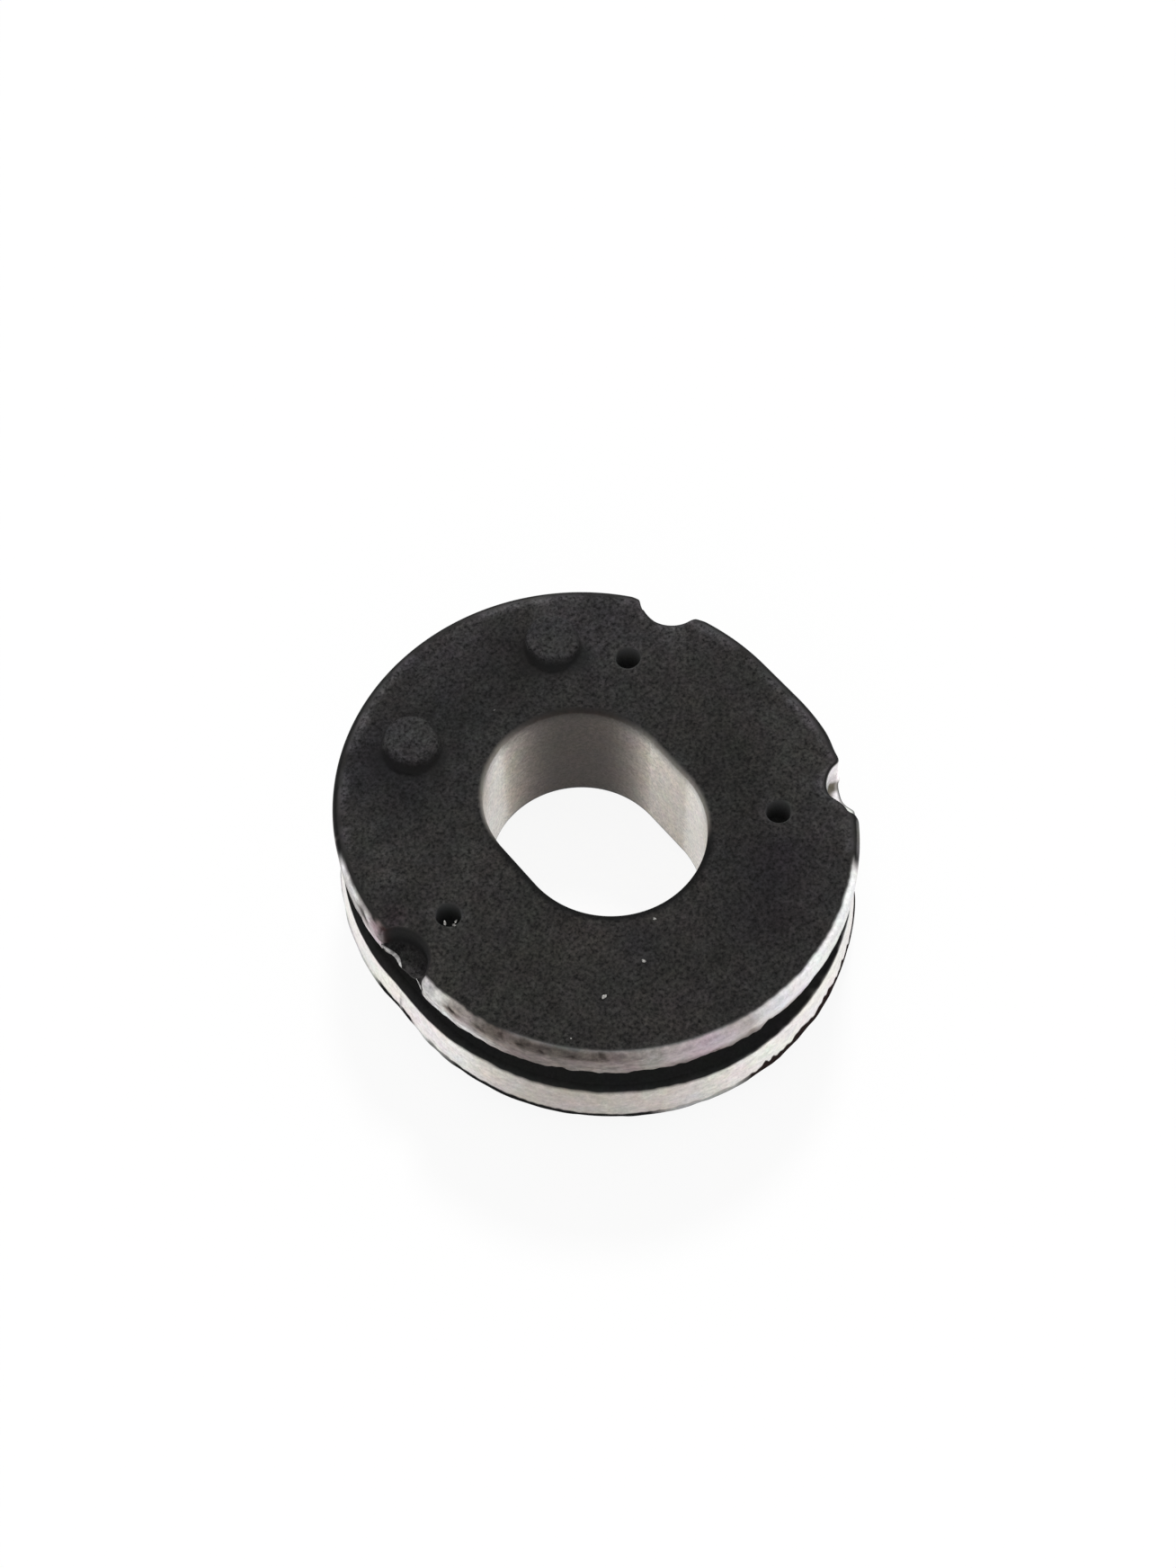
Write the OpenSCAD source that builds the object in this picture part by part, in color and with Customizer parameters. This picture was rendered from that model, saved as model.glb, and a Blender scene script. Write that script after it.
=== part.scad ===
// Rubber ring: an oval moulded ring with a grip groove round its side.
// Units are millimetres. Z is up and the ring lies on its plain face at Z = 0.
// X runs across the two straight sides and Y runs along the length.
// One solid moulded body: flanges, groove, bore, notches, pits and bosses.

/* [Ring] */
// Length over the two round ends of the upper flange
ring_length = 32.5; // [31:0.1:40]
// Width over the two straight sides of the upper flange
ring_width = 29.4; // [28.6:0.1:30.4]
// Height of the ring, without the bosses on its top
ring_height = 9.5; // [8.6:0.1:14]
// Radius of the rounded top outer edge
top_round = 0.6; // [0.2:0.1:0.9]

/* [Bore] */
// Length of the flatted bore
bore_length = 14.5; // [12:0.1:16]
// Width of the bore between its two flats
bore_width = 11.4; // [9:0.1:11.8]
// Radius of the rounded upper mouth of the bore
bore_round = 0.3; // [0.1:0.1:0.6]

/* [Groove and lower flange] */
// Height of the lower flange under the groove
lower_flange = 4.3; // [3:0.1:4.8]
// Height of the groove between the two flanges
groove_height = 3.1; // [2:0.1:3.2]
// Depth of the groove, measured from the upper flange
groove_depth = 2.4; // [1:0.1:2.6]
// Width of the lower flange at its widest, the mould's parting line
lower_width = 29.9; // [29:0.1:31]
// Height of that parting line over the resting face
parting_height = 1.5; // [0.5:0.1:2.2]
// How much the lower flange draws in from there up to its rounded edge
upper_draft = 0.3; // [0:0.05:0.5]
// Radius of the rounded edge between the lower flange and the groove
lower_round = 0.5; // [0.1:0.1:0.9]
// How much it draws in from there down to the resting face
lower_draft = 0.9; // [0.1:0.1:1.5]
// How far the thin moulding flash stands out at the parting line
flash_width = 0.1; // [0.05:0.05:0.4]
// Thickness of that flash
flash_height = 0.12; // [0.1:0.02:0.3]

/* [Edge notches] */
// Radius of the three edge notches
notch_radius = 2; // [1.5:0.1:2.3]
// How far each notch's centre lies outside the upper flange
notch_centre_out = 0.45; // [0.2:0.05:0.8]
// Angle of each front notch from X, about the centre of its round end
notch_angle = 28.3; // [24:0.1:34]
// Place of the rear notch along Y
rear_notch_y = -0.3; // [-1:0.1:1]
// Rubber skin that is left under each notch
notch_skin = 0.5; // [0.3:0.1:1]
// How far that skin's edge stands back in the middle of the two front notches
front_recess = 0.75; // [0.1:0.05:1]
// How far it stands back in the middle of the rear notch
rear_recess = 0.45; // [0.1:0.05:0.8]
// Radius of the shallow curve of the skin's edge
skin_curve = 2.5; // [2:0.1:4]
// Radius of the rounded corners where a notch meets the outer wall
notch_corner = 0.8; // [0.2:0.1:1]

/* [Pits] */
// Diameter of the three blind pits
pit_d = 1.6; // [1:0.1:2]
// Depth of the pits
pit_depth = 2; // [0.5:0.1:4]
// Radius of the circle that the pits lie on
pit_circle = 10.9; // [10:0.1:11]
// Angle of each front pit from X
pit_angle = 40; // [36:1:46]

/* [Bosses] */
// Diameter of the two round bosses at their foot
boss_d = 3.6; // [2:0.1:4]
// How much narrower each boss is at its top
boss_taper = 0.2; // [0:0.05:0.6]
// Height of the bosses over the top face
boss_height = 0.8; // [0.3:0.1:2]
// Distance between the centres of the two bosses
boss_pitch = 11.1; // [9:0.1:13]
// Place across the ring of the middle between them
boss_x = -0.15; // [-1:0.05:1]
// Distance of that middle from the middle of the ring
boss_y = 10.65; // [10:0.05:11]
// Turn of the line through the two bosses from X
boss_turn = 1.6; // [-4:0.1:4]

/* [Hidden] */
$fn = 96;
// Cutters run this far past the faces they break through.
over = 1;
half_width = ring_width / 2;
end_offset = (ring_length - ring_width) / 2;
bore_radius = bore_width / 2;
bore_offset = (bore_length - bore_width) / 2;
groove_top = lower_flange + groove_height;
notch_floor = groove_top + notch_skin;
notch_reach = half_width + notch_centre_out;
front_skin_reach = half_width - front_recess + skin_curve;
rear_skin_reach = half_width - rear_recess + skin_curve;
lower_half = lower_width / 2;
lower_top = lower_half - upper_draft;

// A profile drawn at X > 0 is carried round an oval with round ends:
// half a turn at each end and a straight run along each side.
module around_oval(offset_y) {
    for (turn = [0, 180]) {
        rotate([0, 0, turn])
            translate([0, offset_y, 0])
                rotate_extrude(angle = 180)
                    children();
    }
    rotate([90, 0, 0])
        linear_extrude(2 * offset_y, center = true)
            union() {
                children();
                mirror([1, 0])
                    children();
            }
}

// Half section of the ring, filled in to its axis.
module ring_section() {
    square([half_width - groove_depth, ring_height]);
    polygon([
        [0, 0],
        [lower_half - lower_draft, 0],
        [lower_half, parting_height],
        [lower_top, lower_flange - lower_round],
        [0, lower_flange - lower_round]
    ]);
    square([lower_top - lower_round, lower_flange]);
    translate([lower_top - lower_round, lower_flange - lower_round])
        circle(lower_round);
    translate([0, parting_height - flash_height / 2])
        square([lower_half + flash_width, flash_height]);
    translate([0, groove_top])
        square([half_width, ring_height - groove_top - top_round]);
    translate([0, groove_top])
        square([half_width - top_round, ring_height - groove_top]);
    translate([half_width - top_round, ring_height - top_round])
        circle(top_round);
}

// Half section of the bore's cutter, flared to round the upper mouth.
module bore_section() {
    translate([0, -over])
        square([bore_radius, ring_height + 2 * over]);
    difference() {
        translate([0, ring_height - bore_round])
            square([bore_radius + bore_round, bore_round + over]);
        translate([bore_radius + bore_round, ring_height - bore_round])
            circle(bore_round);
    }
}

// Nearest point to a given y on the line between the round ends' centres.
function spine_point(y) = [0, min(max(y, -end_offset), end_offset)];

// Centre of the corner rounding between a round end and a notch.
// It lies on a circle about the end's centre and on one about the notch.
function arc_corner(end, notch, side) =
    let (
        reach = half_width - notch_corner,
        span = notch_radius + notch_corner,
        gap = norm(notch - end),
        along = (reach * reach - span * span + gap * gap) / (2 * gap),
        off = sqrt(reach * reach - along * along),
        dir = (notch - end) / gap
    )
    end + along * dir + side * off * [-dir[1], dir[0]];

// The same at the rear notch, where the wall is straight on a longer ring
// and part of a round end on a shorter one.
function rear_corner(notch, side) =
    let (
        out = notch_centre_out + notch_corner,
        run = sqrt(pow(notch_radius + notch_corner, 2) - out * out),
        y = notch[1] - side * run
    )
    abs(y) <= end_offset
        ? [-(half_width - notch_corner), y]
        : arc_corner(spine_point(y), notch, side);

// Removes the sharp corner between a notch and the outer wall, and leaves
// a round one about the given middle.
module corner_cut(notch, middle) {
    foot = spine_point(middle[1]);
    outward = (middle - foot) / norm(middle - foot);
    difference() {
        polygon([middle, foot + notch_reach * outward, notch]);
        translate(middle)
            circle(notch_corner);
    }
}

module front_notch() {
    end = [0, end_offset];
    notch = end + notch_reach * [cos(notch_angle), sin(notch_angle)];
    translate(notch)
        circle(notch_radius);
    for (side = [-1, 1]) {
        corner_cut(notch, arc_corner(end, notch, side));
    }
}

module rear_notch() {
    notch = [-notch_reach, rear_notch_y];
    translate(notch)
        circle(notch_radius);
    for (side = [-1, 1]) {
        corner_cut(notch, rear_corner(notch, side));
    }
}

// The shallow curves that the skin's edge follows under the three notches.
module skin_curves() {
    along = front_skin_reach * cos(notch_angle);
    aside = end_offset + front_skin_reach * sin(notch_angle);
    for (side = [-1, 1]) {
        translate([along, side * aside])
            circle(skin_curve);
    }
    translate([-rear_skin_reach, rear_notch_y])
        circle(skin_curve);
}

// Each notch is cut from the top down to its skin, and the skin's edge is
// cut back from the groove up.
module edge_notches() {
    translate([0, 0, notch_floor])
        linear_extrude(ring_height - notch_floor + over)
            union() {
                front_notch();
                mirror([0, 1])
                    front_notch();
                rear_notch();
            }
    translate([0, 0, groove_top - groove_height / 2])
        linear_extrude(groove_height / 2 + notch_skin + over / 2)
            skin_curves();
}

module pits() {
    for (angle = [-pit_angle, pit_angle, 180]) {
        rotate([0, 0, angle])
            translate([pit_circle, 0, ring_height - pit_depth])
                cylinder(h = pit_depth + over, d = pit_d);
    }
}

module bosses() {
    translate([boss_x, boss_y, ring_height])
        rotate([0, 0, boss_turn])
            for (side = [-1, 1]) {
                translate([side * boss_pitch / 2, 0, -over])
                    cylinder(h = over, d = boss_d);
                translate([side * boss_pitch / 2, 0, 0])
                    cylinder(h = boss_height, d1 = boss_d, d2 = boss_d - boss_taper);
            }
}

module ring() {
    color([0.1, 0.1, 0.1])
        difference() {
            union() {
                around_oval(end_offset)
                    ring_section();
                bosses();
            }
            around_oval(bore_offset)
                bore_section();
            edge_notches();
            pits();
        }
}

ring();
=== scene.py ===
import bpy
import numpy as np
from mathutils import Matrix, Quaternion, Vector


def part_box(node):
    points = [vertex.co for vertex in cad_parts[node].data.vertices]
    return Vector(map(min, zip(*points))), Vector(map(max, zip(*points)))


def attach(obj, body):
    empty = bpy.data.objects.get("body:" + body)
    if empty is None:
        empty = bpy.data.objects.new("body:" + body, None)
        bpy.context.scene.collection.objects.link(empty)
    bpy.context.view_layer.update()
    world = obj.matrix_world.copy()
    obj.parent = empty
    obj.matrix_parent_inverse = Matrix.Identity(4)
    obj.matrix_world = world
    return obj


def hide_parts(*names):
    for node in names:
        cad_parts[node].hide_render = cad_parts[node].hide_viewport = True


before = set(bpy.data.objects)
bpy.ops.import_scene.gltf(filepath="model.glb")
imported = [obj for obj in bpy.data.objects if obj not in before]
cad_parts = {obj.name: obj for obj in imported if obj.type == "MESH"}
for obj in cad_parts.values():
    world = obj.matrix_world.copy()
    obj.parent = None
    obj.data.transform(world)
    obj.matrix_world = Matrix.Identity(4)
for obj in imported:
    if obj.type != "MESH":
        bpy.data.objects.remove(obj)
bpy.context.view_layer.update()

MM = 0.001


# ---------------------------------------------------------------- camera
# The camera stands over the ring's rear right and looks down at about 60 degrees.
# It is rolled a little about its line of sight.
camera_place = Vector((-41.27, -53.18, 130.67)) * MM
camera_aim = Vector((2.476, 3.777, 4.75)) * MM
camera_roll = np.radians(-1.7335)

camera = bpy.data.objects.new("camera", bpy.data.cameras.new("camera"))
bpy.context.scene.collection.objects.link(camera)
camera.data.lens = 53.67
camera.data.clip_start = 0.01
camera.location = camera_place
camera.rotation_mode = "QUATERNION"
look = (camera_aim - camera_place).to_track_quat("-Z", "Y")
camera.rotation_quaternion = look @ Quaternion((0, 0, 1), camera_roll)
bpy.context.scene.camera = camera


# ---------------------------------------------------------------- ring
# The ring is one black rubber moulding: two flanges, a grip groove between them,
# an oval bore, three edge notches, three blind pits and two low bosses. It is made
# as one closed grid: columns run round the ring, rows round its section.

# Sizes are in mm. A reach is a distance out from the ring's middle line.
far_corner = np.array(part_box("ring")[1]) / MM
BOSS_HEIGHT = 0.8
FLASH = 0.1
UPPER_INSET = 0.25
HEIGHT = far_corner[2] - BOSS_HEIGHT  # height of the top face
LOWER = far_corner[0] - FLASH  # reach of the lower flange at its parting line
OUTER = LOWER - UPPER_INSET  # reach of the upper flange
END_OFFSET = 1.55  # from the ring's middle to the centre of each round end
MOUTH = 6.0  # reach of the bore's mouth at the top face
BORE = 5.7  # reach of the bore's wall
LIP = 7.4  # height of the upper flange's underside
GROOVE = 4.3  # height of the lower flange's upper face
GROOVE_FLOOR = 12.3  # reach of the groove's floor
GROOVE_ROUND = 0.1
PARTING = 1.5
LOWER_ROUND = 0.5
EDGE_ROUND = 0.6
GAUGE = 14.45  # reach at which places round the ring are counted
LAP = 2 * np.pi * GAUGE + 4 * END_OFFSET
COLUMNS = 800


def spine(around):
    """Point of the ring's middle line and outward direction for a distance round the ring.

    The distance starts at the middle of the +X side and runs anticlockwise. It is
    taken on an oval of radius GAUGE: a straight run, half a turn, a straight run
    twice as long, half a turn and a straight run again.
    """
    half_turn = np.pi * GAUGE
    stops = [0, END_OFFSET, END_OFFSET + half_turn, 3 * END_OFFSET + half_turn]
    stops += [3 * END_OFFSET + 2 * half_turn, LAP]
    w = np.mod(around, LAP)
    angle = np.interp(w, stops, [0, 0, np.pi, np.pi, 2 * np.pi, 2 * np.pi])
    y = np.interp(w, stops, [0, END_OFFSET, END_OFFSET, -END_OFFSET, -END_OFFSET, 0])
    return np.stack([np.zeros_like(w), y]), np.stack([np.cos(angle), np.sin(angle)])


def place_on_lap(point):
    """Distance round the ring of the column that a point lies on, the reverse of spine."""
    x, y = point
    end = np.clip(y, -END_OFFSET, END_OFFSET)
    angle = np.mod(np.arctan2(y - end, x), 2 * np.pi)
    if abs(y) <= END_OFFSET:
        return np.mod(y, LAP) if x > 0 else END_OFFSET * 2 + np.pi * GAUGE - y
    return angle * GAUGE + (END_OFFSET if y > 0 else 3 * END_OFFSET)


def lap_gap(around, middle):
    """Signed distance round the ring from a place, by the shorter way."""
    return np.mod(around - middle + LAP / 2, LAP) - LAP / 2


def smooth(x, low, high):
    """Smooth step from 0 at low to 1 at high: 3t^2 - 2t^3."""
    t = np.clip((x - low) / (high - low), 0, 1)
    return t * t * (3 - 2 * t)


def band(x, *stops):
    """Rises smoothly from 0 to 1 between the first two stops and falls back between the last two."""
    return smooth(x, *stops[:2]) * (1 - smooth(x, *stops[2:]))


def round_lap(around, knots):
    """Value at each column from a short list of (place round the ring, value), joined by lines."""
    places, values = zip(*knots)
    return np.interp(np.mod(around, LAP), places, values, period=LAP)


def bump(x, middle, width):
    """Round hill of height 1: exp(-((x - middle) / width)^2)."""
    return np.exp(-(((x - middle) / width) ** 2))


def wander(around, seed, slowest, fastest, fall=0.6):
    """Random wave of about unit height that closes on itself round the ring.

    A sum of cosines with whole numbers of waves per lap, random phases and
    amplitudes that fall as the wave number to the power of fall.
    """
    draw = np.random.default_rng(seed)
    counts = np.unique(np.geomspace(slowest, fastest, 26).astype(int))
    phases = draw.uniform(0, 2 * np.pi, counts.size)
    sizes = draw.uniform(0.5, 1, counts.size) * counts.astype(float) ** -fall
    waves = np.cos(2 * np.pi * counts[:, None] * around / LAP + phases[:, None])
    return (sizes[:, None] * waves).sum(0) / np.sqrt((sizes**2).sum() / 2)


def ray_to_circle(around, centre, radius, far):
    """Distance out along each column at which it meets a circle, or NaN where it misses.

    Along a ray that passes the centre at the distance m after the run a, the two
    crossings are a - sqrt(r^2 - m^2) and a + sqrt(r^2 - m^2).
    """
    start, out = spine(around)
    to_centre = np.asarray(centre)[:, None] - start
    run = (to_centre * out).sum(0)
    miss = out[0] * to_centre[1] - out[1] * to_centre[0]
    half = np.sqrt(np.where(np.abs(miss) < radius, radius**2 - miss**2, np.nan))
    return np.where(run > 0, run + half if far else run - half, np.nan)


# Edge notches: centre, how far the skin left under the notch stands back, and the
# radius of the notch's corner before it and after it on the way round.
NOTCH_RADIUS = 2.0
NOTCH_OUT = OUTER + 0.45
NOTCH_FLOOR = 7.9
SKIN_RADIUS = 2.5
front_turn = np.radians(28.3)
front_x = NOTCH_OUT * np.cos(front_turn)
front_y = END_OFFSET + NOTCH_OUT * np.sin(front_turn)
NOTCHES = [
    (np.array([front_x, front_y]), 0.75, 1.0, 0.7),
    (np.array([front_x, -front_y]), 0.6, 0.5, 0.6),
    (np.array([-NOTCH_OUT, -0.3]), 0.4, 0.4, 0.25),
]


def corner_middle(notch, side, corner):
    """Centre of the arc of radius corner that rounds a notch into the outer wall.

    It lies OUTER - corner from the middle of the ring's round end and NOTCH_RADIUS +
    corner from the notch's centre: the crossing of two circles. Side 1 is the corner
    after the notch on the way round, side -1 the one before it.
    """
    half = notch[1] if notch[0] > 0 else -side
    end = np.array([0, np.sign(half) * END_OFFSET])
    gap = np.linalg.norm(notch - end)
    reach = OUTER - corner
    run = (reach**2 - (NOTCH_RADIUS + corner) ** 2 + gap**2) / (2 * gap)
    off = np.sqrt(reach**2 - run**2)
    along = (notch - end) / gap
    return end + along * run + side * off * np.array([-along[1], along[0]])


def outline_reach(around):
    """Distance of the upper flange's edge from the middle line, notches cut in."""
    reach = np.full(around.shape, OUTER)
    for notch, _, before, after in NOTCHES:
        at = lap_gap(around, place_on_lap(notch))
        for side, corner in ((-1, before), (1, after)):
            middle = corner_middle(notch, side, corner)
            touch = notch + (middle - notch) * NOTCH_RADIUS / (NOTCH_RADIUS + corner)
            inner = abs(lap_gap(place_on_lap(touch), place_on_lap(notch)))
            outer = abs(lap_gap(place_on_lap(middle), place_on_lap(notch)))
            off = at * side
            cut = ray_to_circle(around, notch, NOTCH_RADIUS, False)
            rounding = ray_to_circle(around, middle, corner, True)
            reach = np.where((off >= 0) & (off <= inner), cut, reach)
            reach = np.where((off > inner) & (off < outer), rounding, reach)
    return reach


def skin_reach_at(around):
    """Distance of the thin skin's edge from the middle line: shallow curves in the notches."""
    reach = np.full(around.shape, OUTER)
    for notch, recess, _, _ in NOTCHES:
        end = np.array([0, np.clip(notch[1], -END_OFFSET, END_OFFSET)])
        out = (notch - end) / np.linalg.norm(notch - end)
        middle = end + (OUTER - recess + SKIN_RADIUS) * out
        reach = np.fmin(reach, ray_to_circle(around, middle, SKIN_RADIUS, False))
    return reach


# Columns stand at even steps along the notched outline.
fine = np.linspace(0, LAP, 20001)
start, out = spine(fine)
edge_xy = start + out * outline_reach(fine)
steps = np.hypot(*np.diff(edge_xy, axis=1))
length = np.concatenate([[0], np.cumsum(steps)])
around = np.interp(np.arange(COLUMNS) / COLUMNS * length[-1], length, fine)

start, out = spine(around)
outline = outline_reach(around)
skin = skin_reach_at(around)
rear_notch = lap_gap(around, place_on_lap(NOTCHES[2][0]))
front_notch = lap_gap(around, place_on_lap(NOTCHES[1][0]))

# Distance round the ring from the middle of its near end, the part next to the camera.
# It is positive to the right of the near end, as the camera sees it.
NEAR_END = 60
from_near = lap_gap(around, NEAR_END)

# The front right notch is worn: its wall and its skin stand out before its middle and
# back after it.
outline += 0.42 * bump(front_notch, -1.1, 0.6) - 0.2 * bump(front_notch, 2.6, 0.9)
skin = skin + 0.5 * bump(front_notch, -1.05, 0.6) - 0.25 * bump(front_notch, 1.5, 0.8)
skin = np.fmax(np.fmin(skin, OUTER), outline)
in_notch = smooth(OUTER - outline, 0.0, 0.3)


def by_notch(plain, notched):
    """A size that is plain along the flange's edge and changes smoothly to notched in the notches."""
    return plain + (notched - plain) * in_notch


# Ragged moulding edges: the lip over the groove, with a few tears, and the torn skin.
LIP_LINE = [
    # place round the ring, height
    (42, 7.3), (44.5, 7.2), (46.5, 7.12), (48, 7.22), (56, 7.22), (57.5, 7.12), (59.3, 7.14),
    (60.1, 7.5), (61, 7.32), (63, 7.2), (64.5, 7.32), (66, 7.38), (67, 7.26), (68.5, 7.36),
    (70.5, 7.38), (71, 7.26), (72.5, 7.34), (74.5, 7.4), (78, 7.38), (80, 7.38), (83, 7.3),
]
LIP_TEARS = [
    # place round the ring, half width, how far the lip hangs down there
    (60.6, 0.3, 0.2), (69.9, 0.3, 0.2), (71.7, 0.2, 0.3), (72.4, 0.2, -0.25),
]
lip_rise = round_lap(around, LIP_LINE) - LIP + 0.06 * wander(around, 3, 20, 190, 0.3)
for middle, width, drop in LIP_TEARS:
    lip_rise -= drop * bump(lap_gap(around, middle), 0, width)
lip_z = LIP + np.clip(lip_rise, -0.3, 0.4) * (1 - in_notch)
TORN_SKIN = [
    # place round the ring, distance out
    (47.1, 14.7), (47.45, 14.61), (47.86, 14.39), (48.2, 14.51), (48.62, 14.63), (49.39, 14.53),
    (49.86, 14.45), (50.17, 14.42), (50.55, 14.55), (50.8, 14.7),
]
torn_reach = round_lap(around, TORN_SKIN) + 0.03 * wander(around, 5, 60, 200, 0.2)
REAR_SKIN_HALF = 1.9
skin = np.where(np.abs(rear_notch) < REAR_SKIN_HALF, np.minimum(OUTER, torn_reach), skin)

# The parting line's flash, and where the lower flange's dark top edge and the painted shade at its foot end.
flash_reach = LOWER + FLASH * np.clip(0.55 + 0.35 * wander(around, 11, 4, 60, 0.3), 0.1, 0.9)
pale_top = 4.05 - 0.3 * band(-from_near, 4, 11, 30, 40) - 0.16 * band(-from_near, 12, 14, 18, 21)
pale_top += 0.16 * band(from_near, 9, 14, 30, 40) + 0.02 * wander(around, 13, 8, 120, 0.3)
FOOT_LINE = [
    # place round the ring, height, how dark
    (40, 1.62, 0), (45.3, 1.62, 0), (46.2, 1.78, 1), (48.4, 1.92, 1), (49.2, 1.9, 1), (49.7, 1.7, 0),
    (50.6, 1.65, 0), (51.1, 1.75, 0.7), (52, 1.7, 0.6), (53.2, 1.78, 1), (65, 1.76, 1), (66.2, 1.7, 0.45),
    (70.2, 1.7, 0.45), (71.3, 1.85, 1), (73, 2.05, 1), (75, 2.15, 1), (77.5, 2.25, 1), (80.5, 2.2, 1),
    (82, 2.05, 1), (85, 2.0, 1), (92, 1.8, 0.9),
]
foot_top = round_lap(around, [(place, height) for place, height, _ in FOOT_LINE])
dark_line = [(place, dark) for place, _, dark in FOOT_LINE]
foot_dark = round_lap(around, dark_line)
taper_shifts = np.linspace(-2, 2, 9)
taper_dark = np.mean([round_lap(around + shift, dark_line) for shift in taper_shifts], axis=0)
ragged_foot = band(from_near, 10, 12, 30, 34) * (1 - 0.5 * smooth(from_near, 20, 24))
foot_top += (0.04 + 0.11 * ragged_foot) * wander(around, 17, 30, 200, 0.2)


def rows(*levels):
    """Stack of rows: each level is (distance out, height) per column or a number for all."""
    flat = [(np.broadcast_to(r, around.shape), np.broadcast_to(z, around.shape)) for r, z in levels]
    return np.array([r for r, _ in flat]), np.array([z for _, z in flat])


DRAFT = 0.3


def flange_reach(z):
    """Distance out of the lower flange at a height: a drafted wall and a rounded top edge.

    Above the rounding's centre it is an arc, r = c + sqrt(R^2 - (z - z0)^2). Below
    it the wall swells gently outwards on its way down to the parting line. The edge
    is sharper to the right of the near end.
    """
    edge = LOWER_ROUND - 0.35 * band(from_near, 7, 13, 28, 36)
    centre_z = GROOVE - edge
    centre_r = LOWER - DRAFT - edge
    arc = centre_r + np.sqrt(np.clip(edge**2 - (z - centre_z) ** 2, 0, None))
    share = np.clip((z - PARTING) / (centre_z - PARTING), 0, 1)
    return np.where(z > centre_z, arc, LOWER - DRAFT * share**1.3)


# Top face, from the bore's mouth to where the outer edge begins to round. Its rows
# stand closer where the pits and bosses lie, and bend with the notches further out.
DENSE_FROM = 8.4
DENSE_TO = 12.5
BEND_FROM = 11.3
INNER_ROWS = 9
DENSE_ROWS = 33
RIM_ROWS = 10
NOTCH_ROUND = 0.3
TOP_END = OUTER - EDGE_ROUND
edge_round = by_notch(EDGE_ROUND, NOTCH_ROUND)
top_edge = outline - edge_round
spacing = np.concatenate([
    np.linspace(MOUTH, DENSE_FROM, INNER_ROWS, endpoint=False),
    np.linspace(DENSE_FROM, DENSE_TO, DENSE_ROWS, endpoint=False),
    np.linspace(DENSE_TO, TOP_END, RIM_ROWS),
])
pull = np.clip((spacing - BEND_FROM) / (TOP_END - BEND_FROM), 0, 1)[:, None]
top_r = spacing[:, None] - pull * (TOP_END - top_edge)
top_z = np.full(top_r.shape, HEIGHT)

# Rounded edge, upper wall, strip of skin along its foot or in the notches, and lip.
WALL_ROWS = 8
STRIP_ROWS = 5
WALL_FOOT = 8.15
STRIP_FOOT = 7.95
edge_turn = np.array([8, 16, 25, 35, 52, 70, 90])[:, None]
round_r = top_edge + edge_round * np.sin(np.radians(edge_turn))
round_z = HEIGHT - edge_round * (1 - np.cos(np.radians(edge_turn)))
wall_top = HEIGHT - edge_round
wall_foot = by_notch(WALL_FOOT, NOTCH_FLOOR)
wall_z = wall_top + np.linspace(0, 1, WALL_ROWS + 1)[1:, None] * (wall_foot - wall_top)
wall_r = np.broadcast_to(outline, wall_z.shape)
strip_share = np.linspace(0, 1, STRIP_ROWS + 1)[1:, None]
strip_foot = by_notch(STRIP_FOOT, NOTCH_FLOOR - 0.02)
strip_r = outline + strip_share * (skin - outline)
strip_z = wall_foot + strip_share * (strip_foot - wall_foot)
lip_r, lip_rows_z = rows((skin, lip_z + by_notch(0.3, 0.35)), (skin - 0.03, lip_z + 0.14))
under_levels = [(skin - 0.12, lip_z + 0.02), (skin - 0.3, lip_z)]
under_levels += [(13.2, LIP - 0.02), (GROOVE_FLOOR + GROOVE_ROUND, LIP)]
under_r, under_z = rows(*under_levels)

# Groove, lower flange, flash line, taper, resting face and bore.
SHOULDER = 14.1
groove_heights = (LIP - GROOVE_ROUND, 6.4, 5.3, GROOVE + GROOVE_ROUND)
groove_levels = [(GROOVE_FLOOR, z) for z in groove_heights]
groove_levels += [(GROOVE_FLOOR + GROOVE_ROUND, GROOVE), (SHOULDER, GROOVE)]
groove_r, groove_z = rows(*groove_levels)
flange_heights = [GROOVE, 4.27, 4.2, np.minimum(pale_top + 0.1, 4.17), np.minimum(pale_top - 0.1, 4.05)]
flange_heights += [3.4, 2.95, 2.65]
flange_heights += [np.clip(foot_top + 0.1, 1.7, 2.6), np.clip(foot_top - 0.06, 1.64, 2.5), 1.62]
flange_r, flange_z = rows(*[(flange_reach(np.asarray(z, float)), z) for z in flange_heights])
flash_r, flash_z = rows((LOWER, 1.56), (flash_reach, 1.53), (flash_reach, 1.47), (LOWER - 0.01, 1.43))
taper_r, taper_z = rows((14.7, 1.1), (14.4, 0.6), (14.15, 0.18), (14.07, 0.05), (13.97, 0.0))
rest_r, rest_z = rows((12.4, 0), (10, 0), (7.6, 0), (6.1, 0))
bore_levels = [(BORE + 0.12, 0), (BORE + 0.03, 0.03), (BORE, 0.12), (BORE, 0.3)]
bore_levels += [(BORE, z) for z in (1.8, 3.6, 5.4, 7.2, 8.4, 8.9, 9.15)]
bore_r, bore_z = rows(*bore_levels)
MOUTH_ROUND = 0.3
mouth_turn = np.radians([20, 45, 70])[:, None]
mouth_r = np.broadcast_to(MOUTH - MOUTH_ROUND * np.cos(mouth_turn), (3, COLUMNS))
mouth_z = np.broadcast_to(HEIGHT - MOUTH_ROUND * (1 - np.sin(mouth_turn)), (3, COLUMNS))

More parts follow.
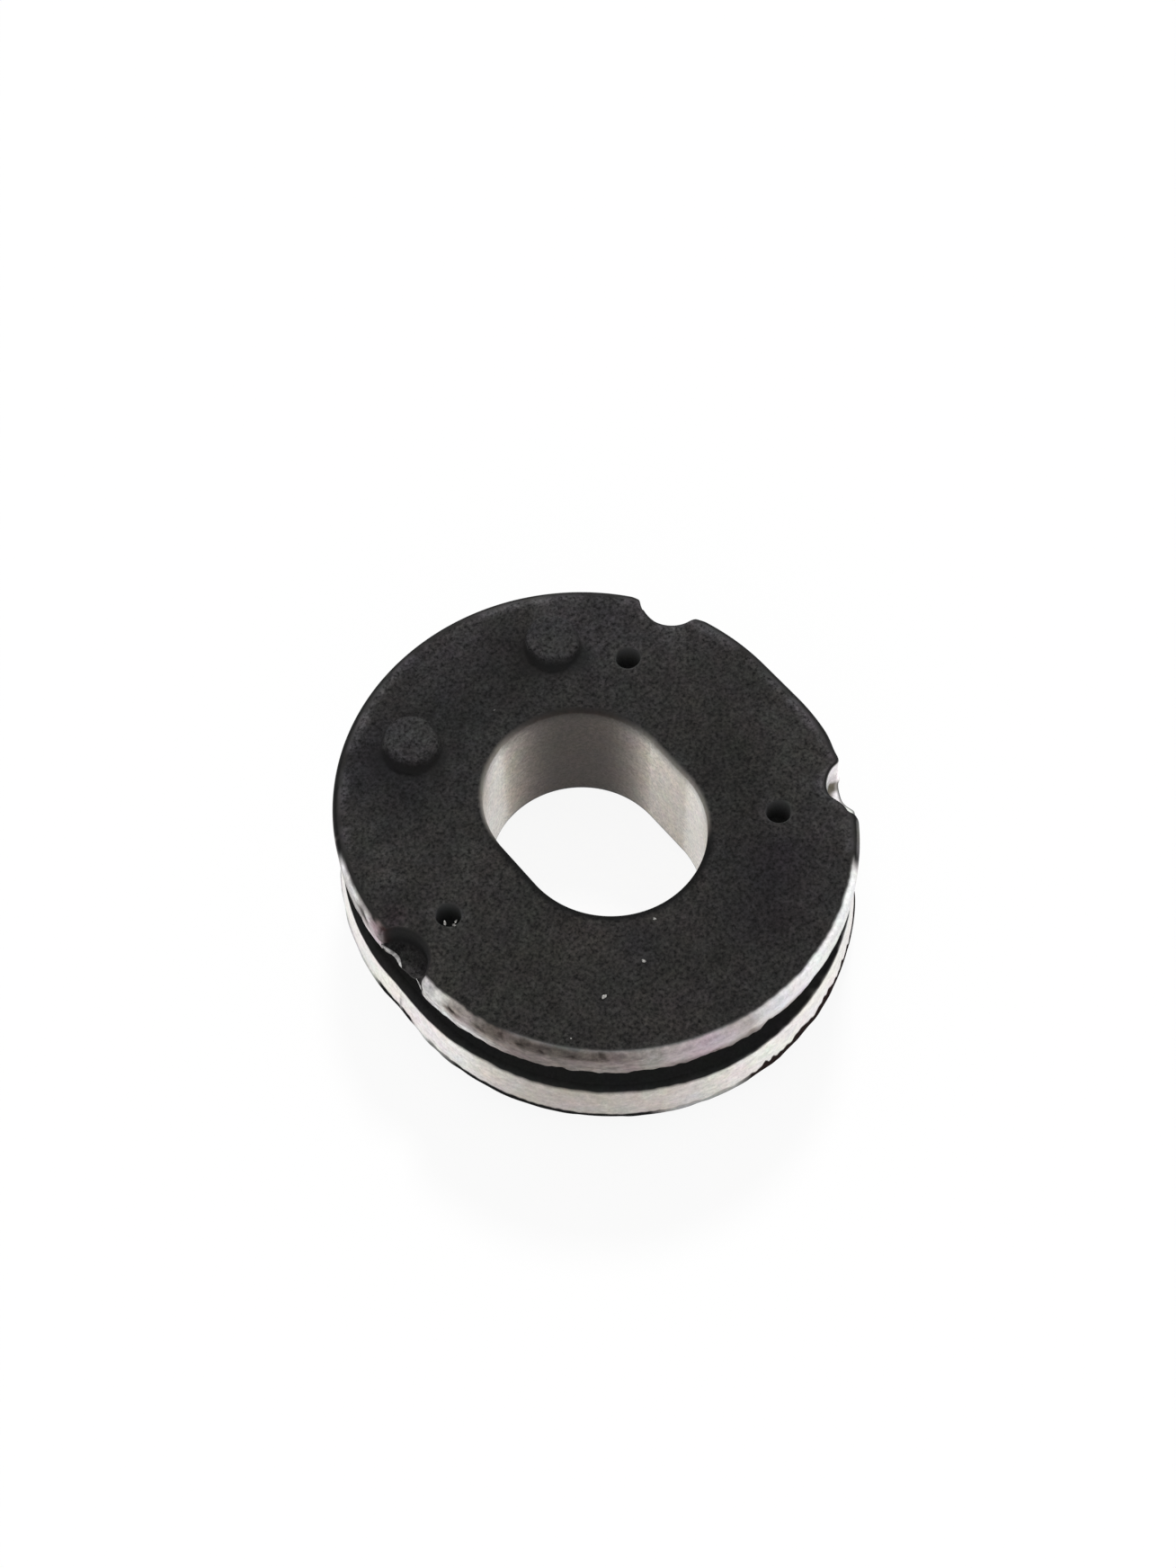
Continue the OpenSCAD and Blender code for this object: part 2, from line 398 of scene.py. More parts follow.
# The blocks of rows follow one another round the section, from the top face outwards.
blocks = {
    "top": (top_r, top_z), "round": (round_r, round_z), "wall": (wall_r, wall_z),
    "strip": (strip_r, strip_z), "lip": (lip_r, lip_rows_z), "under": (under_r, under_z),
    "groove": (groove_r, groove_z), "flange": (flange_r, flange_z), "flash": (flash_r, flash_z),
    "taper": (taper_r, taper_z), "rest": (rest_r, rest_z), "bore": (bore_r, bore_z),
    "mouth": (mouth_r, mouth_z),
}
block = {}
first = 0
for name, (r, _) in blocks.items():
    block[name] = slice(first, first + r.shape[0])
    first += r.shape[0]
reach = np.concatenate([r for r, _ in blocks.values()])
level = np.concatenate([z for _, z in blocks.values()])

# Small chips in the upper wall.
CHIP_DEPTH = 0.09
CHIPS = [
    # place round the ring, height, half length, half height, tilt, depth (cut off at 1)
    (44.4, 7.6, 0.25, 0.3, 0, 0.7), (45.0, 8.7, 0.42, 0.34, -0.5, 2.2), (46.5, 8.48, 0.2, 0.18, -0.5, 1),
    (46.0, 9.3, 0.5, 0.08, -0.2, 0.6), (46.3, 9.0, 0.45, 0.1, -0.4, 0.8), (52.2, 8.1, 0.25, 0.15, 0, 0.3),
    (53.1, 8.8, 0.5, 0.32, 0, 1.1), (55.1, 8.95, 0.5, 0.2, 0, 0.7), (57.6, 9.1, 0.3, 0.15, 0, 0.9),
    (58.9, 9.0, 0.25, 0.18, 0, 0.9), (56.4, 9.2, 0.25, 0.14, 0, 0.8), (60.7, 9.15, 0.22, 0.13, 0, 0.8),
    (60.4, 7.75, 0.3, 0.2, 0, 0.6), (62.3, 9.25, 0.3, 0.12, 0, 0.7), (68.9, 7.75, 0.35, 0.15, 0, 0.6),
    (71.2, 7.9, 0.25, 0.3, 0, 0.4),
]
chipped = np.zeros(reach.shape)
ragged = 0.05 * wander(around, 37, 60, 380, 0.1)
for middle, height, long, high, tilt, depth in CHIPS:
    gap = lap_gap(around, middle)
    hollow = bump(gap, 0, long) * bump(level - tilt * gap + ragged, height, high)
    chipped = np.maximum(chipped, depth * hollow)
wall_rows = slice(block["round"].start, block["lip"].stop)
chipped = np.clip(chipped, 0, 1)
chipped[: wall_rows.start] = 0
chipped[wall_rows.stop :] = 0
reach = reach - CHIP_DEPTH * chipped
plan = start[:, None, :] + out[:, None, :] * reach


def gather(plan, centre, radius, spread, wobble):
    """Turns the grid's lines into rings round a circle and returns the ring number of each point.

    The ring number is the larger of a point's two grid offsets from the centre, each
    1 on the circle. Up to 1 a point moves to the circle of that share of the radius,
    at an angle even along its ring. From 1 to spread it fades back to its own place.
    The wobble is a share of the radius for an angle, counted from the outward side.
    """
    close_by = 8
    far_off = 99
    top = block["top"]
    place = place_on_lap(centre)
    end = np.array([0, np.clip(centre[1], -END_OFFSET, END_OFFSET)])
    outward = (centre - end) / np.linalg.norm(centre - end)
    side = np.array([-outward[1], outward[0]])
    offset = plan[:, top] - centre[:, None, None]
    p = np.tensordot(outward, offset, 1)
    q = np.tensordot(side, offset, 1)
    near_column = np.abs(lap_gap(around, place)) < close_by

    def column_nearest(values):
        """Number of the column close by whose value is nearest to 0."""
        return np.argmin(np.where(near_column, np.abs(values), far_off))

    middle_column = column_nearest(lap_gap(around, place))
    row_p = p[:, middle_column]
    middle_row = np.argmin(np.abs(row_p))
    column_q = q[middle_row]
    high = row_p[np.argmin(np.abs(row_p - radius))]
    low = row_p[np.argmin(np.abs(row_p + radius))]
    right = column_q[column_nearest(column_q - radius)]
    left = column_q[column_nearest(column_q + radius)]
    far_out = np.where(row_p > 0, row_p / high, -row_p / low)[:, None]
    aside = np.where(column_q > 0, column_q / right, -column_q / left)[None, :]
    ring = np.where(near_column, np.maximum(np.abs(far_out), np.abs(aside)), far_off)
    ahead = np.abs(far_out) >= np.abs(aside)
    eighth = np.pi / 4
    with np.errstate(divide="ignore", invalid="ignore"):
        angle = np.where(ahead, eighth * aside / far_out, np.pi / 2 - eighth * far_out / aside)
    angle = np.nan_to_num(angle)
    angle += np.pi * np.where(ahead, far_out < 0, aside < 0)
    size = radius * np.minimum(ring, spread) * (1 + wobble(angle))
    gathered = centre[:, None, None] + size * (
        outward[:, None, None] * np.cos(angle) + side[:, None, None] * np.sin(angle)
    )
    back = smooth(ring, 1.0, spread)
    moved = plan.copy()
    moved[:, top] = np.where(ring < spread, gathered + back * (plan[:, top] - gathered), plan[:, top])
    return moved, ring


def ripple(seed, size):
    """Slight unroundness: a sum of cosines of 2, 3, 5, 8 and 13 times the angle."""
    phases = np.random.default_rng(seed).uniform(0, 2 * np.pi, 5)
    return lambda angle: size * sum(np.cos(n * angle + p) / n for n, p in zip((2, 3, 5, 8, 13), phases))


# Blind pits: a crisp rim, a steep wall and a flat bottom.
PIT_RADIUS = 0.76
PIT_DEPTH = 2.0
PIT_PLACE = 10.9
PIT_TURNS = [40, -40, 180]
PIT_SPREAD = 1.9
PIT_RIPPLE = 0.03
pit_mask = np.zeros(top_r.shape)
rim_mask = np.zeros(top_r.shape)
for number, turn_to in enumerate(np.radians(PIT_TURNS)):
    centre = PIT_PLACE * np.array([np.cos(turn_to), np.sin(turn_to)])
    plan, ring = gather(plan, centre, PIT_RADIUS, PIT_SPREAD, ripple(20 + number, PIT_RIPPLE))
    sink = np.interp(ring, [0, 0.75, 0.9, 1.0, 1.12], [1, 1, 0.9, 0.02, 0])
    level[block["top"]] -= PIT_DEPTH * sink
    pit_mask = np.maximum(pit_mask, np.interp(ring, [1.0, 1.1], [1, 0]))
    rim_mask = np.maximum(rim_mask, np.interp(ring, [1.05, 1.2, 1.7], [0, 1, 0]))

# Bosses: a small fillet at the foot, a nearly upright side and a softened top edge.
BOSS_RADIUS = 1.8
BOSS_PLACES = [(5.42, 10.8), (-5.7, 10.5)]
BOSS_SPREAD = 1.6
BOSS_RIPPLE = 0.08
BOSS_SIDE = [
    # share of the radius, share of the height
    (0, 0.99), (0.78, 0.97), (0.86, 0.91), (0.91, 0.78), (0.95, 0.52), (0.99, 0.25), (1.03, 0.07), (1.1, 0),
]
boss_mask = np.zeros(top_r.shape)
boss_shadow = np.zeros(top_r.shape)
for number, centre in enumerate(np.array(BOSS_PLACES)):
    plan, ring = gather(plan, centre, BOSS_RADIUS, BOSS_SPREAD, ripple(31 + number, BOSS_RIPPLE))
    level[block["top"]] += BOSS_HEIGHT * np.interp(ring, *zip(*BOSS_SIDE))
    boss_mask = np.maximum(boss_mask, np.interp(ring, [0.9, 0.96], [1, 0]))
    # Painted shadow: its side is darkened, and so is the face below it on the half next to the camera.
    to_point = plan[:, block["top"]] - centre[:, None, None]
    near_half = smooth(-(0.69 * to_point[0] + 0.72 * to_point[1]) / BOSS_RADIUS, -0.3, 0.5)
    side = (0.2 + 0.8 * near_half) * np.interp(ring, [0.93, 0.96, 1.02, 1.06], [0, 1, 1, 0])
    below = near_half * np.interp(ring, [1.0, 1.12, 1.45], [0.9, 0.75, 0]) * (ring > 1)
    boss_shadow = np.maximum(boss_shadow, np.maximum(side, below))

points = np.stack([plan[0], plan[1], level], axis=-1)


def new_object(name, points, faces):
    """Object in the scene from a grid of points in mm and faces given as lists of point numbers."""
    mesh = bpy.data.meshes.new(name)
    mesh.from_pydata((points.reshape(-1, 3) * MM).tolist(), [], faces)
    thing = bpy.data.objects.new(name, mesh)
    bpy.context.scene.collection.objects.link(thing)
    return thing


# The grid closes on itself both ways: each quad joins a point to the next row and column.
index = np.arange(points[..., 0].size).reshape(points.shape[:2])
across = np.roll(index, -1, axis=1)
quads = np.stack([index, np.roll(index, -1, axis=0), np.roll(across, -1, axis=0), across], axis=-1)
ring = new_object("rubber_ring", points, quads.reshape(-1, 4).tolist())
ring.data.validate()
ring.data.shade_smooth()

# Colour, worked out for every point: dull black rubber, with a painted reflection of the bright
# table on its walls that is strong at the sides of the near end and weak in its middle.
TOP_BLACK = np.array([0.0181, 0.0173, 0.0167])
SHADE_LINE_BLACK = np.array([0.005, 0.005, 0.005])
SHADE_BLACK = np.array([0.013, 0.013, 0.013])
GROOVE_BLACK = np.array([0.026, 0.026, 0.026])


def painted_reflection(pale, most=(1, 1), less=(0.22, 0.32)):
    """Colour of the painted reflection: near white where it is strong and browner where it is weak.

    With t = (1 - pale)^2 its red is pale, and its green and blue are pale times
    most - less * t.
    """
    thin = (1 - np.clip(pale, 0, 1)) ** 2
    green, blue = (pale * (full - brown * thin) for full, brown in zip(most, less))
    return np.stack([pale, green, blue], axis=-1)


def blend(rows_of, colour, share):
    """Mixes a colour into some rows of the colour, painted light included, by a share from 0 to 1 at each
    point.
    """
    colour_and_painted_light[rows_of] += (colour - colour_and_painted_light[rows_of]) * np.clip(share, 0, 1)[..., None]


def by_row(*shares):
    """Shares for the rows of a block, the first row first."""
    return np.array(shares, float)[:, None]


colour_and_painted_light = np.zeros(points.shape) + TOP_BLACK
rough = np.full(reach.shape, 0.75)
streak = np.zeros(reach.shape)
grain_part = np.full(reach.shape, 0.15)

# Top: soft clouds of darker and lighter, browner and bluer rubber. The dark clouds round
# the bosses are painted shadow, and the light ones near the outer edge painted highlight.
CLOUDS = [
    # x, y, width, lighter, browner, bluer
    (-8, 10, 3.2, -0.42, 0, 0.05), (-8, 11.5, 2.2, 0.05, 0, 0.1), (-7.8, 8, 1.2, -0.2, 0, 0.03),
    (3, 12, 2.0, -0.3, 0.03, 0.03), (1.5, 10, 2.2, -0.3, 0, 0), (-2.3, 10.8, 1.8, -0.3, -0.03, 0),
    (-2, 8.5, 3.0, 0, -0.03, 0.03), (5, -9.5, 2.4, -0.4, 0.02, 0.05), (6.5, -9.6, 1.8, -0.12, 0.04, 0.1),
    (3, -12, 2.0, -0.3, 0.04, 0.06), (7, -4, 3.0, -0.2, 0, -0.02), (9, -1.6, 1.5, -0.2, 0, -0.03),
    (12.6, 7, 2.6, 0.45, 0.02, 0.03), (7, 12.8, 1.6, 0.45, 0.03, 0.06), (8, 10, 2.6, 0.2, 0.04, 0.13),
    (12.6, -6, 2.8, 0.35, 0, -0.04), (12.6, -2.4, 1.8, 0.25, 0.02, 0), (10.3, -9.8, 1.3, 0.35, 0.05, 0.05),
    (-12, 5, 1.6, 0.35, 0, -0.04), (-11, 8.4, 1.5, 0.35, 0.03, 0), (1, 15, 1.5, 0.42, 0.09, 0.04),
    (-8, 2, 2.6, 0.12, 0, 0), (-7.8, 0.8, 1.8, 0.18, 0, -0.03), (-13.4, -2, 1.4, 0.3, 0, -0.05),
    (-6, -6.4, 1.6, 0.25, 0.08, -0.02), (-1, -8.6, 1.5, 0.15, 0.08, 0.02), (-4.5, -13.6, 1.4, 0.15, 0.12, 0),
    (-6.8, -12.4, 1.6, 0.22, 0, -0.03), (-3.4, -8.4, 1.2, -0.2, 0, 0.09), (-1, -11.3, 2.5, -0.15, 0, -0.03),
    (-1, 13.5, 2.2, 0.04, 0, 0.09), (-9, -6, 5.0, 0, 0.01, -0.05), (6, -11, 3.0, 0, 0.03, 0.05),
    (10, 1, 4.0, 0, 0.01, -0.03), (-13.3, 1.9, 0.8, -0.1, 0.25, 0.12), (-11.6, 5.8, 0.45, 0.5, 0, 0),
    (-12.1, 4.3, 0.4, 0.5, 0, 0),
]
top_rows = block["top"]
top_x, top_y = plan[:, top_rows]
for x, y, width, lighter, browner, bluer in CLOUDS:
    hill = np.exp(-((top_x - x) ** 2 + (top_y - y) ** 2) / width**2)[..., None]
    colour_and_painted_light[top_rows] *= 1 + hill * (lighter + np.array([browner, 0, bluer]))
grain_part[top_rows] = 1
rough[top_rows] = 0.8
BOSS_BLACK = np.array([0.0265, 0.0258, 0.0266])
blend(top_rows, BOSS_BLACK, 0.8 * boss_mask)
blend(top_rows, 1.7 * TOP_BLACK, 0.5 * rim_mask)
# Painted shadow on the bosses' sides and on the face below them.
blend(top_rows, SHADE_BLACK, boss_shadow)
blend(top_rows, 1.7 * GROOVE_BLACK, pit_mask)
sheltered = np.maximum(pit_mask, boss_shadow)
rough[top_rows] += 0.2 * sheltered
grain_part[top_rows] *= 1 - sheltered

# The bore's mouth has a thin black line of painted shade on its near half, whose middle is at MOUTH_NEAR.
MOUTH_NEAR = 65
near_side = 1 - smooth(np.abs(lap_gap(around, MOUTH_NEAR)), 17, 24)
blend(top_rows, SHADE_LINE_BLACK, bump(spacing, MOUTH, 0.1)[:, None] * near_side)

# Walls and rounded edge of the upper flange, coloured with a painted reflection. On the far
# side, away from WALLS_NEAR, the painted reflection begins lower on the rounded edge.
WALLS_NEAR = 62.2
far_side = smooth(np.abs(lap_gap(around, WALLS_NEAR)), 20.3, 21.6)
WALL_PALE = [
    # place round the ring, how pale
    (30, 0.35), (41, 0.6), (43, 0.55), (44.2, 0.42), (46, 0.42), (47, 0.52), (51.4, 0.6), (52, 0.76),
    (53, 0.52), (54, 0.46), (55, 0.34), (56, 0.26), (57, 0.19), (60, 0.18), (62, 0.24), (64, 0.24),
    (66, 0.38), (68, 0.5), (70, 0.52), (71, 0.44), (72, 0.68), (74, 0.84), (76, 0.97), (78.5, 0.88),
    (80.5, 0.95), (84, 0.85), (92, 0.4),
]
PALE_LEAST = 0.01
PALE_MOST = 0.97
PURPLE_LOSS = np.array([0.02, 0.16, 0.08])
pale_here = round_lap(around, WALL_PALE)
here_z = level[wall_rows]
# To the right of the near end the painted reflection is weaker at the foot of the wall.
right_part = band(from_near, 4, 7, 20.5, 23) * (1 - 0.55 * smooth(from_near, 14.5, 16.5))
pale = pale_here * (1 - 0.72 * right_part * (1 - smooth(here_z, 7.25, 8.3)))
# To its left a paler line of painted reflection runs along the foot, and further left along foot and top.
left_part = band(-from_near, 2.6, 4.2, 7, 8.2)
pale += left_part * (0.32 * bump(here_z, 7.75, 0.28) - 0.14 * smooth(here_z, 8.2, 8.8))
pale += 0.5 * band(-from_near, 12.9, 13.3, 14.6, 16) * bump(here_z, 7.6, 0.35)
# In the middle of the near end the painted reflection is weaker at the top of the wall, and it is nearly
# left out of the chips.
pale *= 1 - 0.5 * band(from_near, -4, -2, 2, 5) * smooth(here_z, 8.5, 9.2)
pale *= 1 - 0.96 * chipped[wall_rows]
pale *= 1 - 0.35 * bump(from_near, -18, 1.3) * (1 - smooth(here_z, 8.5, 8.9))
pale += 0.28 * band(-from_near, 12.9, 13.3, 18.5, 20) * bump(here_z, 9.2, 0.22)
wall_colour = painted_reflection(np.clip(pale, PALE_LEAST, PALE_MOST))
purple = (bump(from_near, 8, 1.8) + bump(from_near, -13.6, 1.1))[None, :, None]
wall_colour *= 1 - purple * PURPLE_LOSS

# The painted reflection fades in over the rounded edge, from a turn that wanders round the ring.
FADE_SPAN = 20
turn_here = np.full(here_z.shape, 90.0)
turn_here[: edge_turn.shape[0]] = edge_turn
fade_from = 9 + (1.5 + 2.5 * bump(from_near, -3, 5)) * wander(around, 19, 20, 200, 0.2)
fade_from += 14 * smooth(-from_near, 9, 12) + 5 * smooth(-from_near, 15, 17)
fade_from += 3 * smooth(from_near, 4, 7) + 17 * bump(from_near, -13.5, 1.0)
fade = smooth(turn_here, fade_from, fade_from + FADE_SPAN)
far_fade = smooth(turn_here, 62, 84)
fade += (far_fade - fade) * far_side
# Inside the notches painted shade takes the place of the painted reflection.
pink_side = 0.12 * band(rear_notch, -3, -2.6, -1.6, -1.3)
notch_shade = smooth(OUTER - outline - pink_side, 0.01, 0.12 + pink_side)
fade *= 1 - notch_shade
blend(wall_rows, wall_colour, fade)
rim_glint = 0.09 * bump(turn_here, 18, 8) * band(from_near, -4, -2, 9, 12)
colour_and_painted_light[wall_rows] += rim_glint[..., None]
rough[wall_rows] = 0.8 - 0.25 * fade
STREAKS = [
    # place round the ring, how streaky
    (40, 0.6), (44, 0.9), (47.5, 0.9), (53, 0.8), (56, 1), (64, 0.9), (68, 0.5), (72, 0.2), (84, 0.2),
]
streak[wall_rows] = fade * round_lap(around, STREAKS)

# Far rim: a painted highlight in a ring on the top and a ragged black edge of painted shade
# beyond it, with a pale line on the edge beside the front right notch.
RIM_PALE = np.array([0.16, 0.155, 0.155])
TOP_HIGHLIGHT = np.array([0.032, 0.030, 0.033])
EDGE_HIGHLIGHT = np.array([0.035, 0.033, 0.036])
rim_shade = smooth(turn_here, 24, 36 + 6 * wander(around, 23, 20, 160, 0.2)) * (1 - far_fade)
blend(wall_rows, SHADE_LINE_BLACK, rim_shade * far_side)
rim_line = band(front_notch, -5, -4, -2.4, -2) * bump(turn_here, 52, 9)
blend(wall_rows, RIM_PALE, 0.8 * rim_line)
rim_highlight = far_side * (0.55 + 0.35 * wander(around, 29, 6, 90, 0.3))
top_highlight = np.clip(bump(top_r, top_edge - 0.05, 0.28) * rim_highlight, 0, 1)
colour_and_painted_light[top_rows] += top_highlight[..., None] * TOP_HIGHLIGHT
edge_highlight = np.clip(bump(turn_here, 10, 10) * rim_highlight, 0, 1)
colour_and_painted_light[wall_rows] += edge_highlight[..., None] * EDGE_HIGHLIGHT

# Inside the notches: walls darkened with painted shade and, at the rear, a dull floor.
NOTCH_BLACK = np.array([0.027, 0.026, 0.026])
blend(wall_rows, SHADE_BLACK, notch_shade * smooth(turn_here, 10, 40))
floor_rows = slice(block["strip"].start, block["lip"].stop)
rear_floor = 1 - smooth(np.abs(rear_notch), REAR_SKIN_HALF, 2.4)
blend(floor_rows, NOTCH_BLACK, 0.9 * rear_floor * smooth(OUTER - outline, 0.0, 0.2))
grain_part[floor_rows] += 0.85 * rear_floor

# Rear notch: its left corner is rubbed to a pale pink that turns reddish black, and the
# skin's edge beside it is pale.
PALE_PINK = np.array([0.30, 0.235, 0.235])
RED_BLACK = np.array([0.03, 0.014, 0.014])
PALE_EDGE = np.array([0.4, 0.38, 0.38])
corner_rows = slice(block["round"].start, block["wall"].stop)
corner_turn = turn_here[: corner_rows.stop - corner_rows.start]
pink = bump(rear_notch, -2.4, 0.3) * band(corner_turn, 5, 30, 60, 88)
blend(corner_rows, PALE_PINK, 0.6 * pink)
red = bump(rear_notch, -2.0, 0.22) * smooth(corner_turn, 5, 30)
blend(corner_rows, RED_BLACK, 0.9 * red)
bright_edge = band(rear_notch, -2.6, -2.2, -0.5, -0.1)
blend(block["lip"], PALE_EDGE, bright_edge * by_row(0.9, 0.4))

# Front right notch: a painted reflection on its wall turns from brown through tan to a shiny
# white, over a skin of white painted reflection, tan painted shade on its upper rows and a dark edge of
# painted shade.
WALL_WHITE = np.array([0.97, 0.97, 0.96])
WALL_TAN = np.array([0.26, 0.23, 0.18])
WALL_BROWN = np.array([0.07, 0.06, 0.05])
SKIN_WHITE = np.array([0.9, 0.9, 0.89])
SKIN_TAN = np.array([0.2, 0.18, 0.14])
below_edge = smooth(corner_turn, 60, 88)
blend(corner_rows, WALL_WHITE, band(front_notch, 0.05, 0.3, 1.9, 2.3) * below_edge)
blend(corner_rows, WALL_TAN, band(front_notch, -1.0, -0.7, 0.05, 0.3) * below_edge)
blend(corner_rows, WALL_BROWN, band(front_notch, -1.8, -1.4, -1.0, -0.7) * below_edge)
white_skin = band(front_notch, 0.0, 0.3, 2.2, 2.5)
tan_skin = band(front_notch, -0.1, 0.2, 1.25, 1.5)
white_edge = band(front_notch, -1.3, -1.0, 0.5, 0.9)
blend(block["strip"], SKIN_WHITE, white_skin)
blend(block["strip"], SKIN_TAN, tan_skin * by_row(1, 1, 1, 0.7, 0.4))
blend(block["strip"], SKIN_WHITE, white_edge * by_row(0, 0.3, 0.9, 1, 0.2))
blend(block["strip"], SHADE_LINE_BLACK, (white_edge + tan_skin) * by_row(0, 0, 0, 0, 0.85))
blend(block["lip"], SKIN_WHITE, white_skin)

# Groove and lower flange: a painted reflection covers the flange's wall from its foot line up to
# its top edge, and is crossed by one thin grey step.
FLANGE_TINT = np.array([1, 0.965, 0.92])
FOOT_RED = np.array([0.012, 0.004, 0.003])
STEP_GREY = np.array([0.35, 0.34, 0.34])
TAPER_PALE = np.array([0.75, 0.75, 0.74])
colour_and_painted_light[block["under"]] = GROOVE_BLACK
colour_and_painted_light[block["groove"]] = GROOVE_BLACK
rough[block["groove"]] = 0.95
lower = 0.4 + 0.55 * smooth(from_near, 1, 19) + 0.55 * smooth(-from_near, 0.5, 11.5)
lower -= 0.5 * smooth(np.abs(from_near), 24, 36)
flange_rows = block["flange"]
colour_and_painted_light[flange_rows] = painted_reflection(np.clip(lower / 0.82, 0, PALE_MOST)) * FLANGE_TINT
above_pale = smooth(flange_z, pale_top - 0.09, pale_top + 0.09)
blend(flange_rows, 0.75 * GROOVE_BLACK, above_pale)
# Painted shade along the flange's foot, tinted red where the foot is ragged.
foot_shade = SHADE_BLACK + ragged_foot[:, None] * FOOT_RED
foot_share = (1 - smooth(flange_z, foot_top - 0.05, foot_top + 0.09)) * foot_dark
blend(flange_rows, foot_shade, foot_share)
rough[flange_rows] = 0.45
streak[flange_rows] = 0.35
step_line = bump(from_near, -11.8, 0.13) * (1 - smooth(flange_z, 2.4, 3.4))
blend(flange_rows, STEP_GREY, step_line)

# Flash and taper: painted shade where the foot line is dark, and a pale painted reflection elsewhere.
colour_and_painted_light[block["flash"]] = foot_shade
colour_and_painted_light[block["taper"]] = SHADE_BLACK
for part, dark in (("flash", foot_dark), ("taper", taper_dark)):
    kept = np.linspace(1, 0.4, block[part].stop - block[part].start)[:, None]
    blend(block[part], TAPER_PALE, kept * (1 - dark))

# Bore: a painted reflection, darkest at BORE_TURN degrees from X and opposite, palest a quarter
# turn from there, with dark lines of painted shade at both ends.
BORE_TURN = 52
bore_rows = slice(block["bore"].start + 2, block["bore"].stop)
bore_level = level[bore_rows]
facing = np.degrees(np.arctan2(out[1], out[0])) - BORE_TURN
bore_pale = np.clip(1.9 * (0.04 + 1.05 * np.sin(np.radians(facing)) ** 4), 0, PALE_MOST)
colour_and_painted_light[bore_rows] = painted_reflection(bore_pale, (0.93, 0.84), (0.1, 0.1))
blend(bore_rows, SHADE_LINE_BLACK, 1 - smooth(bore_level, 0.1, 0.35))
blend(bore_rows, SHADE_LINE_BLACK, smooth(bore_level, 8.7, 9.2) * near_side)
# On the far side the bore's painted reflection fades out towards the top face.
blend(bore_rows, TOP_BLACK, 0.6 * smooth(bore_level, 8.2, 9.3) * (1 - near_side))
rough[bore_rows] = 0.35
streak[bore_rows] = 0.15
grain_part[bore_rows] = 0.35
# The mouth fades from the bore's colour to the top's, with painted shade on its near half.
mouth_rows = block["mouth"]
colour_and_painted_light[mouth_rows] = colour_and_painted_light[mouth_rows.start - 1]
blend(mouth_rows, TOP_BLACK, by_row(0.35, 0.65, 0.9))
blend(mouth_rows, SHADE_LINE_BLACK, near_side)
rough[mouth_rows] = 0.9

# Smooth sides of the ring and of the bore catch a sheen at a flat angle.
gleam = np.full(reach.shape, 0.03)
gleam[bore_rows] += 0.97 * smooth(np.abs(facing), 50, 64)
rough[bore_rows] -= 0.2 * smooth(np.abs(facing), 45, 62)
side_share = band(np.abs(from_near), 8, 16, 26, 34)
for part in ("wall", "flange"):
    gleam[block[part]] += 0.2 * side_share * (1 - in_notch)
    rough[block[part]] -= 0.15 * side_share
gleam *= 1 - 0.9 * chipped
for part in ("under", "groove", "flash"):
    gleam[block[part]] = 0
gleam[flange_rows] *= (1 - above_pale) * (1 - foot_share)

for name, values in (("rough", rough), ("streak", streak), ("grain_part", grain_part), ("gleam", gleam)):
    layer = ring.data.attributes.new(name, "FLOAT", "POINT")
    layer.data.foreach_set("value", values.reshape(-1).astype(np.float32))
layer = ring.data.attributes.new("colour_and_painted_light", "FLOAT_COLOR", "POINT")
colour = np.concatenate([np.clip(colour_and_painted_light, 0, 1), np.ones(reach.shape + (1,))], axis=-1)
layer.data.foreach_set("color", colour.reshape(-1).astype(np.float32))


def add(tree, kind, **settings):
    """New node in a material's tree, with the given settings or input values."""
    node = tree.nodes.new(kind)
    for key, value in settings.items():
        if key in node.inputs:
            node.inputs[key].default_value = value
        else:
            setattr(node, key, value)
    return node


def ramp(tree, source, low, high, to_low, to_high):
    """Maps a value from one range to another, held at the ends."""
    node = add(tree, "ShaderNodeMapRange")
    for key, value in (("From Min", low), ("From Max", high), ("To Min", to_low), ("To Max", to_high)):
        node.inputs[key].default_value = value
    tree.links.new(source, node.inputs["Value"])
    return node.outputs["Result"]


def part_of(tree, tone, amount):
    """Tone where the amount is 1 and no change where it is 0: 1 + amount * (tone - 1)."""
    node = add(tree, "ShaderNodeMix", data_type="FLOAT")
    node.inputs[2].default_value = 1.0
    tree.links.new(amount, node.inputs[0])
    tree.links.new(tone, node.inputs[3])
    return node.outputs[0]


def times(tree, first, second):
    """Product of two values."""
    node = add(tree, "ShaderNodeMath", operation="MULTIPLY")
    tree.links.new(first, node.inputs[0])
    tree.links.new(second, node.inputs[1])
    return node.outputs[0]


rubber = bpy.data.materials.new("black_rubber")
rubber.use_nodes = True
tree = rubber.node_tree
shader = tree.nodes["Principled BSDF"]
place = add(tree, "ShaderNodeTexCoord")
drawn = {
    name: add(tree, "ShaderNodeAttribute", attribute_name=name)
    for name in ("colour_and_painted_light", "rough", "streak", "grain_part", "gleam")
}
shader.inputs["IOR"].default_value = 2.4

